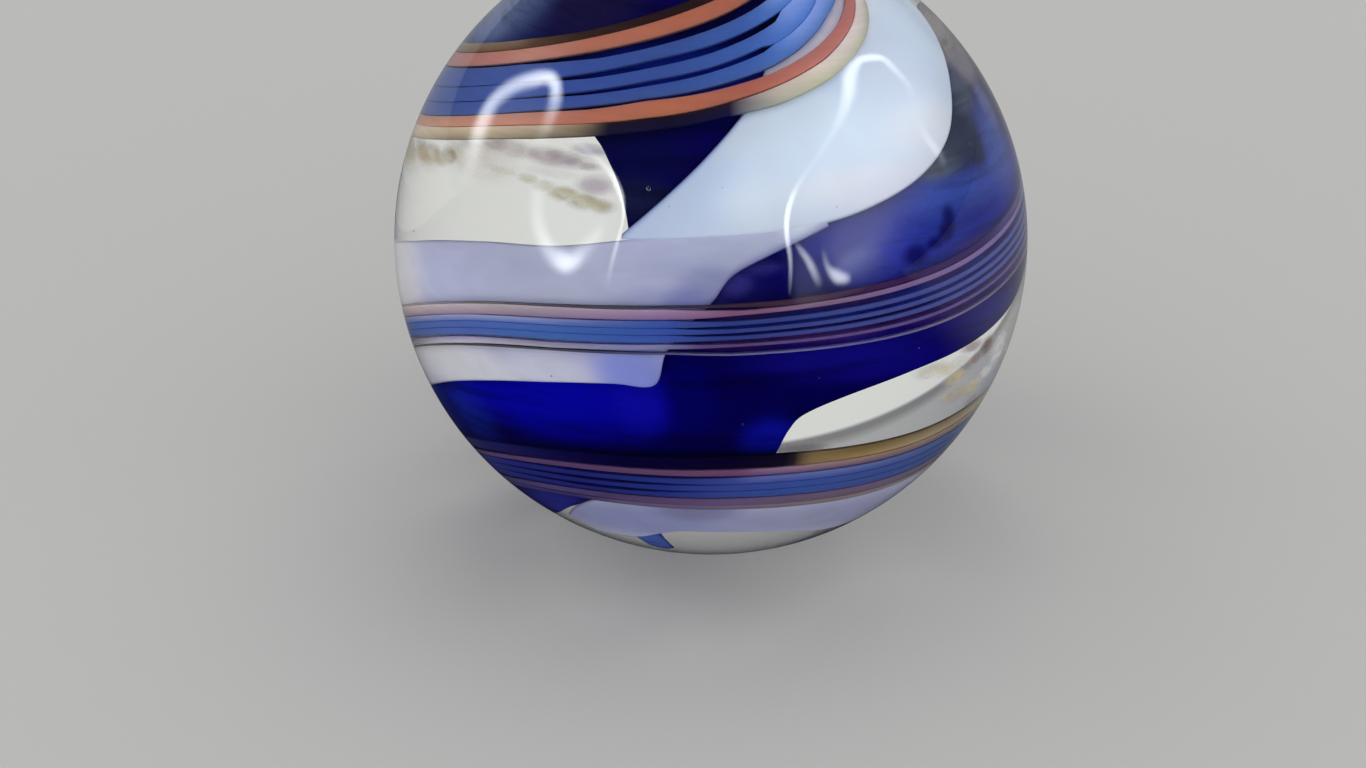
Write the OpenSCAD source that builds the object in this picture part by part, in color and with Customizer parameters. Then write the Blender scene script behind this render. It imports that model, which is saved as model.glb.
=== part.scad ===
// A glass marble with a striped ribbon wound down it in a spiral.
//
// The ball is clear glass. Fused inside it, just under the surface, are coloured glasses: seven flat
// threads that lie side by side as one ribbon, and below them curved panels of opal white, lavender and
// cobalt. Everything is one fused lump, so nothing moves and every coloured piece fills its own pocket.
//
// Angles on the ball are in degrees: polar runs down from the swirl's upper pole, and azimuth runs
// round from the front, positive to the right.

/* [Ball] */
// Diameter of the ball
ball_d = 25; // [18:0.5:40]
// How far the swirl's pole leans back from upright
swirl_lean = 15; // [0:1:40]

/* [Ribbon] */
// Clear glass over the threads
skin = 0.10; // [0.08:0.01:0.20]
// Thickness of the threads
thread_t = 0.25; // [0.15:0.05:0.40]
// Width of the ribbon, as a share of the widths in its list below
ribbon_scale = 1.0; // [0.7:0.05:1.05]

/* [Panels] */
// Thickness of the opal and lavender panels
opal_t = 0.25; // [0.15:0.05:0.40]
// Thickness of the cobalt panels
cobalt_t = 0.30; // [0.15:0.05:0.50]
// Clear glass between two layers, at its thinnest
layer_gap = 0.05; // [0.04:0.01:0.15]

/* [Hidden] */

ball_r = ball_d / 2;

// Turn between two cross-sections of a thread, and the widest cell of a panel
thread_step = 15;
panel_cell = 11;

// A flat facet lies closer to the centre than its corners, by these shares of the radius
thread_sag = cos(thread_step / 2);
panel_sag = cos(panel_cell * 0.75);

// Outer radius of each layer, from the surface inwards
thread_r = ball_r - skin;
opal_r = (thread_r - thread_t) * thread_sag - layer_gap;
cobalt_r = (opal_r - opal_t) * panel_sag - layer_gap;

// The ribbon's middle line and width, one pair [polar, width] for each eighth of a turn. It starts on
// the right, near the upper pole, and winds down and to the left.
ribbon_start = 90;
ribbon_turn = 45;
ribbon = [
    [12, 10], [26, 29], [41.2, 28.3], [51.3, 20.4], [60.8, 18.5], [67.5, 17], [73.5, 15], [79, 13],
    [83.5, 12.2], [90.8, 11.2], [93.5, 9.3], [96.1, 8.5], [106.8, 8.7], [117, 10], [124, 10], [127, 12],
    [123.5, 14], [127.3, 13.8], [127.6, 13.3], [128.5, 11.6], [135.5, 11], [142, 11], [149, 10],
    [154, 6]
];

// Where each thread lies across the ribbon, as shares of its width from the upper edge
blue_lines = [[0.315, 0.45], [0.505, 0.615], [0.66, 0.77]];
orange_lines = [[0.10, 0.225], [0.81, 0.90]];
amber_lines = [[0, 0.085], [0.915, 1]];

// Each panel is a list of ribs across it, [azimuth, polar, azimuth, polar] from its one edge to the other
opal_front = [
    [-17, 76.3, -17, 77.2], [-10, 70, -10, 77], [0, 60.5, 0, 76.5], [10, 50, 10, 76], [20, 36, 20, 75],
    [31, 27, 31, 73], [45, 22, 45, 69], [58, 20, 57, 63.3], [72, 22, 68, 54.6], [86, 25, 76, 48.6],
    [97, 31, 85, 41.5]
];
opal_back = [
    [150, 30, 150, 34], [165, 26, 165, 44], [185, 22, 185, 54], [205, 22, 205, 57], [225, 26, 225, 50],
    [240, 33, 240, 39]
];
lavender_middle = [
    [-112, 95.6, -112, 120], [-104, 94, -104, 119.7], [-90, 90.3, -90, 118.6], [-75, 87, -75, 114.8],
    [-60, 83.5, -60, 110.7], [-45, 81, -45, 107.6], [-30, 79.6, -30, 105.6], [-18, 77.6, -19, 104.7],
    [-8, 76.2, -10.8, 104.5], [-4, 76, -8.4, 98], [0, 75.7, -4, 92.5], [4, 75.5, 0.3, 88],
    [8, 75.3, 3.6, 83.6], [14, 75, 10, 80.2], [22, 74, 22.5, 75.3]
];
lavender_foot = [
    [-50, 144, -46, 150], [-40, 138.5, -36, 150], [-30, 134.5, -26, 149.5], [-20, 133.3, -18, 147],
    [-10, 133, -10, 145], [-2, 131.5, -2, 145], [6, 124.5, 6, 145.2], [14, 122.2, 14, 145.6],
    [26, 122.2, 26, 146.6], [42, 122.2, 42, 149], [58, 122.6, 58, 149], [74, 124, 74, 146]
];
cobalt_upper = [
    [58, 12, -130, 12], [50, 20, -125, 30], [44, 25, -118, 45], [38, 30, -110, 58], [31, 35, -100, 68],
    [25, 41, -70, 62.4], [18, 47.5, -45, 57], [13, 53, -31, 56.5], [9.5, 57, -25.3, 59.4],
    [4, 61, -22, 63], [-3, 66, -19.2, 67], [-9, 71.5, -17.2, 71.8], [-14.5, 76.3, -16, 76.3]
];
cobalt_middle = [
    [-112, 120, -112, 133], [-95, 117.5, -95, 150], [-78, 114, -78, 149], [-60, 109, -60, 146],
    [-44, 105, -44, 140.5], [-30, 103, -30, 136], [-18, 98, -18, 133.6], [-9, 82, -9, 133],
    [0, 77, 0, 132.6], [7, 76, 7, 131], [12, 75.5, 12, 126], [14.2, 75, 14.2, 120.5],
    [16, 74.6, 16, 115.5], [19, 74, 19, 112], [28, 71, 28, 108.7], [42, 67, 42, 105.7],
    [54, 62.5, 54, 103.9], [66, 55, 66, 101.7], [78, 44, 78, 98.3], [92, 41, 92, 91],
    [108, 45, 108, 81], [124, 52, 124, 74]
];
cobalt_foot = [
    [-30, 149, -30, 158], [-24, 147, -24, 160], [-18, 146, -18, 158]
];

// A point on a sphere about the ball's centre
function spot(r, azimuth, polar) =
    r * [sin(polar) * sin(azimuth), -sin(polar) * cos(azimuth), cos(polar)];

// A smooth value between the entries of a list, at place x counted in entries (Catmull-Rom)
function smooth(list, x) =
    let (
        last = len(list) - 1,
        i = min(floor(x), last - 1),
        f = x - i,
        a = list[max(i - 1, 0)],
        b = list[i],
        c = list[i + 1],
        d = list[min(i + 2, last)]
    )
    b + 0.5 * f * (c - a + f * (2 * a - 5 * b + 4 * c - d + f * (3 * (b - c) + d - a)));

// Triangles of a closed grid: rings that follow each other along a piece, with both ends closed
function ring_faces(rings, sides) = concat(
    [for (k = [0 : rings - 2], j = [0 : sides - 1])
        let (p = k * sides + j, q = k * sides + (j + 1) % sides)
        each [[q + sides, p + sides, p], [q, q + sides, p]]],
    [for (j = [1 : sides / 2 - 1])
        let (p = j, q = sides - 1 - j, e = (rings - 1) * sides)
        each [[p - 1, q, p], [p - 1, q + 1, q], [e + p, e + q, e + p - 1], [e + q, e + q + 1, e + p - 1]]]
);

// One thread of the ribbon, between two shares of its width
module thread(lane) {
    last = (len(ribbon) - 1) * ribbon_turn;
    rings = ceil(last / thread_step) + 1;
    points = [
        for (k = [0 : rings - 1])
            let (
                turn = min(k * thread_step, last),
                here = smooth(ribbon, turn / ribbon_turn),
                azimuth = ribbon_start - turn,
                upper = here[0] + (lane[0] - 0.5) * here[1] * ribbon_scale,
                lower = here[0] + (lane[1] - 0.5) * here[1] * ribbon_scale,
                inner_r = thread_r - thread_t
            )
            each [
                spot(thread_r, azimuth, upper), spot(thread_r, azimuth, lower),
                spot(inner_r, azimuth, lower), spot(inner_r, azimuth, upper)
            ]
    ];
    polyhedron(points, ring_faces(rings, 4));
}

// A curved panel of the given outer radius and thickness, over a list of ribs
module panel(ribs, r, t) {
    spans = len(ribs) - 1;
    widest = max([for (b = ribs) norm(spot(1, b[0], b[1]) - spot(1, b[2], b[3])) * 180 / PI]);
    longest = max([for (k = [0 : spans - 1]) norm(
        spot(1, ribs[k][0], ribs[k][1]) + spot(1, ribs[k][2], ribs[k][3])
        - spot(1, ribs[k + 1][0], ribs[k + 1][1]) - spot(1, ribs[k + 1][2], ribs[k + 1][3])) * 90 / PI]);
    across = ceil(widest / panel_cell);
    along = ceil(longest / panel_cell);
    rings = spans * along + 1;
    points = [
        for (k = [0 : rings - 1])
            let (
                b = smooth(ribs, k / along),
                row = [for (j = [0 : across]) [
                    b[0] + (b[2] - b[0]) * j / across,
                    b[1] + (b[3] - b[1]) * j / across
                ]]
            )
            each concat(
                [for (j = [0 : across]) spot(r - t, row[j][0], row[j][1])],
                [for (j = [across : -1 : 0]) spot(r, row[j][0], row[j][1])]
            )
    ];
    polyhedron(points, ring_faces(rings, 2 * across + 2));
}

// The swirl's own frame, leaned back in the ball
module swirl() {
    rotate([-swirl_lean, 0, 0]) children();
}

// Three threads of blue glass down the middle of the ribbon
module blue_threads() {
    color("#3f62ae") swirl() for (lane = blue_lines) thread(lane);
}

// An orange thread on each side of the blue
module orange_threads() {
    color("#d06440") swirl() for (lane = orange_lines) thread(lane);
}

// A thin amber thread along each edge of the ribbon
module amber_threads() {
    color("#a08c58") swirl() for (lane = amber_lines) thread(lane);
}

// Opal white glass: the large panel in front and a smaller one behind
module opal_panels() {
    color("#d5e1f2") swirl() {
        panel(opal_front, opal_r, opal_t);
        panel(opal_back, opal_r, opal_t);
    }
}

// White glass with a thin blue veil over it, fused against the lower edge of the opal
module lavender_panels() {
    color("#a9a9cc") difference() {
        swirl() {
            panel(lavender_middle, opal_r, opal_t);
            panel(lavender_foot, opal_r, opal_t);
        }
        opal_panels();
    }
}

// Cobalt blue glass, the deepest layer
module cobalt_panels() {
    color("#10106a") swirl() {
        panel(cobalt_upper, cobalt_r, cobalt_t);
        panel(cobalt_middle, cobalt_r, cobalt_t);
        panel(cobalt_foot, cobalt_r, cobalt_t);
    }
}

// The clear ball, with a pocket for every coloured piece
module clear_glass() {
    color([0.93, 0.96, 0.95, 0.3]) difference() {
        sphere(ball_r, $fn = 72);
        blue_threads();
        orange_threads();
        amber_threads();
        opal_panels();
        lavender_panels();
        cobalt_panels();
    }
}

clear_glass();
blue_threads();
orange_threads();
amber_threads();
opal_panels();
lavender_panels();
cobalt_panels();
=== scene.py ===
import math

import bmesh
import bpy
import numpy as np
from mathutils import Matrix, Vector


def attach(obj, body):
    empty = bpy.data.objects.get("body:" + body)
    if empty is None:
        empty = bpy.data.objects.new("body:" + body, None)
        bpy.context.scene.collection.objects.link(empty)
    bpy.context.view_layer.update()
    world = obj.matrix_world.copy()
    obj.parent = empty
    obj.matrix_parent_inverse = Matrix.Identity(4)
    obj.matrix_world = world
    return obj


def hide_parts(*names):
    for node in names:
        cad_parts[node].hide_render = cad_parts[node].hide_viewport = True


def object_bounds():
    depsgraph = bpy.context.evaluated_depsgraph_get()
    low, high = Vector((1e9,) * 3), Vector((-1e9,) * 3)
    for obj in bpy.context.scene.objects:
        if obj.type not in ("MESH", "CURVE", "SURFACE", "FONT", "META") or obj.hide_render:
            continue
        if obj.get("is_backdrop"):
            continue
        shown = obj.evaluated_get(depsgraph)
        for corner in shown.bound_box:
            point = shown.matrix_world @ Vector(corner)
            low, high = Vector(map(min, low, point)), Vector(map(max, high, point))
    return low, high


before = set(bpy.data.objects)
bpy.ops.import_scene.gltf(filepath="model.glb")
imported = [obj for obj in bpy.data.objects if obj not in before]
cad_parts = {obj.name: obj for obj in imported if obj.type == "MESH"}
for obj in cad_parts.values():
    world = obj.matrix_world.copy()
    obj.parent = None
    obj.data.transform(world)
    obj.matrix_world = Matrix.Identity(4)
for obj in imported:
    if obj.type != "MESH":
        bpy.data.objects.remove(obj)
cad_low, cad_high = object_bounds()

# ---------------------------------------------------------------- Cobalt panels
# Broad strokes of soda-lime glass coloured with cobalt oxide, nearly black where they are thick.
# They are laid on the clear core with the tip of a rod, melted flat in the torch and cased in clear
# glass, so they are the deepest colour in the ball.

MM = 0.001
BALL_R = 12.5
SWIRL_LEAN = math.radians(15)                  # how far the swirl's pole leans back from upright

# Thicknesses in mm, from the surface inwards
SKIN = 0.10
THREAD_T = 0.25
OPAL_T = 0.25
COBALT_T = 0.30
LAYER_GAP = 0.05

# Outer radii in mm. The solids' threads turn in steps of 15 degrees and their panels have cells of 11.
# The middle of such a facet lies closer to the centre than its corners, by a share called sag.
THREAD_SAG = math.cos(math.radians(15 / 2))
PANEL_SAG = math.cos(math.radians(11 * 0.75))
THREAD_R = BALL_R - SKIN
OPAL_R = (THREAD_R - THREAD_T) * THREAD_SAG - LAYER_GAP
COBALT_R = (OPAL_R - OPAL_T) * PANEL_SAG - LAYER_GAP


def spot(r, azimuth, polar):
    """Points in millimetres from the ball's centre, from the swirl's own angles in degrees."""
    a, p = np.radians(azimuth), np.radians(polar)
    x, y, z = np.sin(p) * np.sin(a), -np.sin(p) * np.cos(a), np.cos(p)
    c, s = math.cos(SWIRL_LEAN), math.sin(SWIRL_LEAN)
    return np.stack([r * x, r * (y * c + z * s), r * (z * c - y * s)], -1)


def smooth(stations, x):
    """Smooth values between the rows of a list, at places x counted in rows (Catmull-Rom)."""
    rows = np.asarray(stations, float)
    last = len(rows) - 1
    i = np.clip(np.floor(x).astype(int), 0, last - 1)
    f = (np.asarray(x, float) - i)[:, None]
    a, b, c, d = rows[np.maximum(i - 1, 0)], rows[i], rows[i + 1], rows[np.minimum(i + 2, last)]
    return b + 0.5 * f * (c - a + f * (2 * a - 5 * b + 4 * c - d + f * (3 * (b - c) + d - a)))


EDGE = 0.14                                    # mm over which a panel's edge rounds off
INSETS = np.array([0, 0.02, 0.06, 0.10]) / EDGE     # rows of mesh points in that edge, as shares of it
CELL = 0.14                                    # mm between mesh points inside that edge


def between_edges(length):
    """Places from 0 to 1 along each length in mm: close together at both ends, even between."""
    inner = np.linspace(0, 1, max(4, int(np.max(length) / CELL)))
    e = np.minimum(EDGE / np.maximum(length, 1e-6), 0.3)[:, None]
    return np.concatenate([e * INSETS, e + (1 - 2 * e) * inner, 1 - e * INSETS[::-1]], 1)


def roll_off(distance):
    """Share of the full thickness at a distance in mm from an edge."""
    return np.sqrt(1 - (1 - np.clip(distance / EDGE, 0, 1)) ** 2)


def grid_faces(index):
    """Quads between the neighbouring points of a grid, from the points' numbers."""
    return np.stack([index[:-1, :-1], index[1:, :-1], index[1:, 1:], index[:-1, 1:]], -1).reshape(-1, 4)


def panel(ribs, r, t):
    """Points, faces and angles of a curved panel over a list of ribs, with rounded edges all round.

    The angles carry two more columns: the distances in mm from the ribs' first and last ends.
    """
    spans = len(ribs) - 1
    x = np.linspace(0, spans, 40 * spans + 1)
    fine = smooth(ribs, x)
    middle = (spot(r, fine[:, 0], fine[:, 1]) + spot(r, fine[:, 2], fine[:, 3])) / 2
    run = np.concatenate([[0], np.cumsum(np.linalg.norm(np.diff(middle, axis=0), axis=1))])
    along = between_edges(run[-1:])[0] * run[-1]
    b = smooth(ribs, np.interp(along, run, x))
    width = np.linalg.norm(spot(r, b[:, 0], b[:, 1]) - spot(r, b[:, 2], b[:, 3]), axis=1)
    across = between_edges(width)
    azimuth = b[:, 0, None] + (b[:, 2] - b[:, 0])[:, None] * across
    polar = b[:, 1, None] + (b[:, 3] - b[:, 1])[:, None] * across
    full = roll_off(np.minimum(across, 1 - across) * width[:, None])
    full = full * roll_off(np.minimum(along, run[-1] - along))[:, None]
    rows, columns = azimuth.shape
    outer = spot(r - t / 2 + t / 2 * full, azimuth, polar)
    inner = spot(r - t / 2 - t / 2 * full, azimuth, polar)[1:-1, 1:-1]
    index = np.arange(rows * columns).reshape(rows, columns)
    under = index.copy()
    under[1:-1, 1:-1] = rows * columns + np.arange((rows - 2) * (columns - 2)).reshape(rows - 2, -1)
    faces = grid_faces(index).tolist() + grid_faces(under)[:, ::-1].tolist()
    angles = np.stack([azimuth, polar, across * width[:, None], (1 - across) * width[:, None]], -1)
    return (np.concatenate([outer.reshape(-1, 3), inner.reshape(-1, 3)]), faces,
            np.concatenate([angles.reshape(-1, 4), angles[1:-1, 1:-1].reshape(-1, 4)]))


def linear(colour):
    """An sRGB hex value as linear RGB."""
    parts = np.array([int(colour[i:i + 2], 16) / 255 for i in (1, 3, 5)])
    return np.where(parts <= 0.04045, parts / 12.92, ((parts + 0.055) / 1.055) ** 2.4)


LET_OUT = 0.37                                 # share of a colour's light that its casing lets out
THROWN_BACK = 0.60                             # share that the casing throws back on the colour
LIGHTEST = 0.97


def cased(rgb):
    """The glass's own colour, from how it looks through its clear casing.

    Part of the light that leaves a colour inside clear glass is thrown back at the surface and
    meets the colour again, so it looks darker and deeper than it is.
    """
    return np.minimum(rgb / (LET_OUT + THROWN_BACK * rgb), LIGHTEST)


def blended(angles, base, patches):
    """A colour for each point: a base colour with soft-edged patches laid over it in turn.

    A patch is its middle's azimuth and polar angle, its half width in each, and its colour.
    """
    colours = np.tile(linear(base), (len(angles), 1))
    for azimuth, polar, wide, high, colour in patches:
        away = ((angles[:, 0] - azimuth) / wide) ** 2 + ((angles[:, 1] - polar) / high) ** 2
        share = np.exp(-away ** 2)[:, None]
        colours = colours + share * (linear(colour) - colours)
    return colours


def tinted_mesh(name, points, faces, angles, colours):
    """A smooth mesh that carries the angles as a UV map and each point's glass colour, painted light
    included.
    """
    mesh = bpy.data.meshes.new(name)
    mesh.from_pydata((points * MM).tolist(), [], faces)
    mesh.polygons.foreach_set("use_smooth", [True] * len(mesh.polygons))
    corner = np.empty(len(mesh.loops), int)
    mesh.loops.foreach_get("vertex_index", corner)
    mesh.uv_layers.new(name="swirl").data.foreach_set("uv", angles[corner].astype(np.float32).ravel())
    tint = np.ones((len(points), 4), np.float32)
    tint[:, :3] = cased(colours)
    mesh.attributes.new("tint", "FLOAT_COLOR", "POINT").data.foreach_set("color", tint.ravel())
    return mesh


def placed(name, data):
    """An object of that mesh or camera, put in the scene."""
    piece = bpy.data.objects.new(name, data)
    bpy.context.scene.collection.objects.link(piece)
    return piece


def glass_piece(name, parts):
    """One object from closed parts, each (points, faces, angles, colours), turned outside out."""
    points, faces, start = [], [], 0
    for p, f, angles, colours in parts:
        f = np.array(f)
        a, b, c, d = (p[f[:, k]] for k in range(4))
        if np.einsum("ij,ij->", a, np.cross(b, c)) + np.einsum("ij,ij->", a, np.cross(c, d)) < 0:
            f = f[:, ::-1]
        faces += (f + start).tolist()
        points.append(p)
        start += len(p)
    angles = np.concatenate([part[2][:, :2] for part in parts])
    colours = np.concatenate([part[3] for part in parts])
    return placed(name, tinted_mesh(name, np.concatenate(points), faces, angles, colours))


def new_material(name):
    """A material with an empty node tree, and that tree."""
    material = bpy.data.materials.new(name)
    material.use_nodes = True
    material.node_tree.nodes.clear()
    return material, material.node_tree


def add(tree, kind, settings=None, inputs=None, stops=None):
    """Adds a node with its settings, its input values or links, and a ramp's stops."""
    node = tree.nodes.new("ShaderNode" + kind)
    for key, value in (settings or {}).items():
        setattr(node, key, value)
    for key, value in (inputs or {}).items():
        if isinstance(value, bpy.types.NodeSocket):
            tree.links.new(value, node.inputs[key])
        else:
            node.inputs[key].default_value = value
    for k, (place, grey) in enumerate(stops or []):
        ramp = node.color_ramp.elements
        element = ramp[k] if k < 2 else ramp.new(place)
        element.position = place
        element.color = (grey, grey, grey, 1)
    return node


def coloured_glass(tree, depth):
    """Ends a coloured glass's tree: each point's colour, painted light included, times depth, with no shine
    of its own.
    """
    tint = add(tree, "Attribute", {"attribute_name": "tint"}).outputs["Color"]
    colour = add(tree, "VectorMath", {"operation": "SCALE"}, {0: tint, "Scale": depth.outputs[0]})
    shader = add(tree, "BsdfPrincipled", inputs={
        "Base Color": colour.outputs[0], "Roughness": 0.3, "Specular IOR Level": 0.0})
    add(tree, "OutputMaterial", inputs={"Surface": shader.outputs[0]})


# Each stroke is a list of ribs across it: azimuth and polar angle at its one edge, then at its other.
cobalt_upper = [
    [58, 12, -130, 12], [50, 20, -125, 30], [44, 25, -118, 45], [38, 30, -110, 58], [31, 35, -100, 68],
    [25, 41, -70, 62.4], [18, 47.5, -45, 57], [13, 53, -31, 56.5], [9.5, 57, -25.3, 59.4],
    [4, 61, -22, 63], [-3, 66, -19.2, 67], [-9, 71.5, -17.2, 71.8], [-14.5, 76.3, -16, 76.3]
]
cobalt_middle = [
    [-112, 120, -112, 133], [-95, 117.5, -95, 150], [-78, 114, -78, 149], [-60, 109, -60, 146],
    [-44, 105, -44, 140.5], [-30, 103, -30, 136], [-18, 98, -18, 133.6], [-9, 82, -9, 133],
    [0, 77, 0, 132.6], [7, 76, 7, 131], [12, 75.5, 12, 126], [14.2, 75, 14.2, 120.5],
    [16, 74.6, 16, 115.5], [19, 74, 19, 112], [28, 71, 28, 108.7], [42, 67, 42, 105.7],
    [54, 62.5, 54, 103.9], [66, 55, 66, 101.7], [78, 44, 78, 98.3], [92, 41, 92, 91],
    [108, 45, 108, 81], [124, 52, 124, 74]
]
cobalt_foot = [
    [-30, 149, -30, 158], [-24, 147, -24, 160], [-18, 146, -18, 158]
]
# Where the strokes are thin they turn from near black to royal blue, and to smoke along their edges.
cobalt_tones_and_painted_light = [
    # The upper stroke: slate where it thins out on the left
    [-100, 38, 34, 12, "#48557c"], [-88, 44, 14, 6, "#566288"], [-95, 55, 30, 9, "#3c4c84"],
    # Painted light: the royal blue patch at the end of the next row lies under the upper ribbon's gaps. It is
    # lighter than the glass, to make up for the shade the threads cast.
    [-92, 61, 24, 9, "#2c4088"], [-47, 29, 21, 14, "#100c2e"], [-8, 45, 28, 7, "#0a1e90"],
    [-20, 63, 18, 9, "#04042f"], [-15, 70, 8, 4, "#0c0f2a"],
    # The middle stroke below the lavender, and the strokes' feet
    [-95, 118, 22, 14, "#14226e"], [-60, 113, 9, 12, "#081468"], [-36, 110, 27, 8.5, "#020284"],
    [-14, 109, 6, 7, "#07058a"], [-4, 108, 5, 8, "#010048"], [12, 118, 6, 6, "#05087e"],
    [-48, 141, 20, 6, "#1a1c66"], [-24, 153, 8, 8, "#34458c"],
    # The middle stroke between the opal and the ribbon on the right
    [66, 80, 44, 11, "#0e187a"], [47, 80, 10, 6, "#182684"], [34, 83.5, 8, 6, "#20288a"],
    [24, 77.5, 8, 4, "#080c64"], [29.5, 83, 5, 3, "#2c327c"], [3, 86, 9, 4, "#08063e"],
    [4, 85, 3.5, 2.5, "#222060"], [0, 89, 3, 3, "#16144c"], [9, 82, 4, 1.5, "#1c1a58"],
    [58, 73.5, 18, 4, "#243688"], [76, 69, 8, 8, "#2e4088"],
    # Its upper edge, turned to smoke
    [60, 63.5, 12, 7.6, "#1e2636"], [52, 68, 7, 2.6, "#38404e"], [66, 66, 4, 5, "#181e32"],
    [82, 62, 4, 5, "#40487c"], [86, 46, 16, 8, "#77706c"], [84, 54, 8, 4, "#5e5a60"],
    [71, 56.5, 7, 4.5, "#343c4a"],
    # A thick run of drops down across it
    [51.3, 77.4, 1.9, 2.2, "#00044c"], [50, 80.0, 2.4, 1.9, "#000044"], [46.6, 81.5, 2.6, 1.3, "#000048"],
    [41.5, 82.9, 3.4, 2.2, "#000048"],
    # Below the ribbon, and what shows between its threads: the thin stripes from the second row on are
    # painted lighter, to make up for the shade the threads cast
    [58, 97, 18, 4, "#120c54"], [34, 103, 20, 3, "#07035a"], [26, 99.5, 20, 4, "#090662"],
    [66, 86.9, 14, 1.7, "#1e2c88"], [45, 90.3, 13, 1.7, "#1e2c88"], [22, 92.0, 13, 1.5, "#1c2a84"],
    [4, 92.9, 10, 1.4, "#162074"], [66, 83.6, 14, 1.1, "#3c2a6a"], [45, 87.5, 13, 1.1, "#3c2a6a"],
    [22, 89.6, 13, 1.0, "#362660"], [4, 90.9, 10, 0.9, "#281a4c"], [66, 91.2, 14, 2.0, "#36205c"],
    [45, 94.1, 13, 1.8, "#361e58"], [22, 95.4, 13, 1.6, "#321a50"], [4, 96.2, 10, 1.3, "#281440"]
]
cobalt = glass_piece("cobalt_panels", [
    (*part, blended(part[2], "#020038", cobalt_tones_and_painted_light))
    for part in (panel(ribs, COBALT_R, COBALT_T) for ribs in (cobalt_upper, cobalt_middle, cobalt_foot))])

# Cobalt glass: smooth and index-matched to its casing, so it has no shine of its own. The torch
# has drawn it into long streaks, 0.8 mm wide and ten times as long, that show where it is thin, over a
# fine mottle of 0.2 to 0.3 mm.
cobalt_stroke, tree = new_material("cobalt_stroke")
swirl = add(tree, "UVMap", {"uv_map": "swirl"}).outputs[0]
DEGREE = math.radians(1) * 12                  # mm for a degree, 12 mm from the ball's centre
drawn = add(tree, "VectorMath", {"operation": "MULTIPLY"}, {0: swirl, 1: (DEGREE / 8, DEGREE / 0.8, 0)})
streaks = add(tree, "TexNoise", inputs={
    "Vector": drawn.outputs[0], "Scale": 1.0, "Detail": 4.0, "Roughness": 0.6, "Distortion": 0.6})
grain = add(tree, "VectorMath", {"operation": "MULTIPLY"}, {0: swirl, 1: (DEGREE / 0.3, DEGREE / 0.2, 0)})
mottle = add(tree, "TexNoise", inputs={"Vector": grain.outputs[0], "Scale": 1.0, "Detail": 3.0})
depth = add(tree, "ValToRGB", inputs={0: streaks.outputs[0]},
            stops=[(0.32, 0.55), (0.5, 0.95), (0.68, 1.0)])
lift = add(tree, "Math", {"operation": "MULTIPLY_ADD"}, {0: mottle.outputs[0], 1: 0.35, 2: 0.9})
depth = add(tree, "Math", {"operation": "MULTIPLY"}, {0: depth.outputs[0], 1: lift.outputs[0]})
coloured_glass(tree, depth)
cobalt.data.materials.append(cobalt_stroke)
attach(cobalt, "root")
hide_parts("cobalt_panels")

# ---------------------------------------------------------------- Lavender panels
# White glass under a thin film of blue, so that it looks lavender: pale where the film has thinned
# out and violet where it has gathered. One stroke lies round the front under the ribbon, and a short
# one round the foot; both were laid over the cobalt and melted flat.

lavender_middle = [
    [-112, 95.6, -112, 120], [-104, 94, -104, 119.7], [-90, 90.3, -90, 118.6], [-75, 87, -75, 114.8],
    [-60, 83.5, -60, 110.7], [-45, 81, -45, 107.6], [-30, 79.6, -30, 105.6], [-18, 77.6, -19, 104.7],
    [-8, 76.2, -10.8, 104.5], [-4, 76, -8.4, 98], [0, 75.7, -4, 92.5], [4, 75.5, 0.3, 88],
    [8, 75.3, 3.6, 83.6], [14, 75, 10, 80.2], [22, 74, 22.5, 75.3]
]
lavender_foot = [
    [-50, 144, -46, 150], [-40, 138.5, -36, 150], [-30, 134.5, -26, 149.5], [-20, 133.3, -18, 147],
    [-10, 133, -10, 145], [-2, 131.5, -2, 145], [6, 124.5, 6, 145.2], [14, 122.2, 14, 145.6],
    [26, 122.2, 26, 146.6], [42, 122.2, 42, 149], [58, 122.6, 58, 149], [74, 124, 74, 146]
]
lavender_tones_and_painted_light = [
    [-95, 88, 30, 7, "#bcc0e2"], [-92, 92, 21, 12, "#dcd8ec"], [-60, 91, 18, 6, "#b2b7de"],
    # Painted shade: the greyer patches at azimuth -4, polar 81 and at azimuth 3, polar 78.4 lie just under
    # the opal's lower edge.
    [-28, 86, 16, 7, "#a8aecc"], [-10, 88.5, 8, 3, "#8e92be"], [-4, 81, 10, 4, "#9b9fc0"],
    [3, 78.4, 12, 2.2, "#9ea3bc"], [0, 84.5, 6, 3, "#8084ac"], [-4, 88, 5, 3, "#6c70a8"],
    # Painted light: the near-white patches at azimuth -95, polar 108, at -52, 107 and at -30, 104 make the
    # stroke's lower band, which faces the table, as bright as its upper part.
    [19, 75.6, 6, 2.6, "#dadff2"], [-82, 94, 15, 12, "#f2eefa"], [-95, 108, 32, 8, "#f6f2f8"],
    [-52, 107, 22, 5, "#f6f4f8"], [-30, 104, 12, 4, "#e0e0fc"], [-15, 102, 8, 6, "#7a86fa"],
    [-18, 141, 40, 7, "#767ba8"], [34, 141, 36, 6, "#8688a8"], [-4, 136, 12, 4, "#6a6a8c"],
    [38, 127, 42, 6, "#5060a0"]
]
SUNK = 0.01                                    # mm under the opal, which covers it where they meet


def feathered(colours, away, reach, colour, share):
    """Colours that turn to another at an edge: away is each point's distance from it in mm."""
    at_edge = (share * np.exp(-(away / reach) ** 2))[:, None]
    return colours + at_edge * (linear(colour) - colours)


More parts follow.
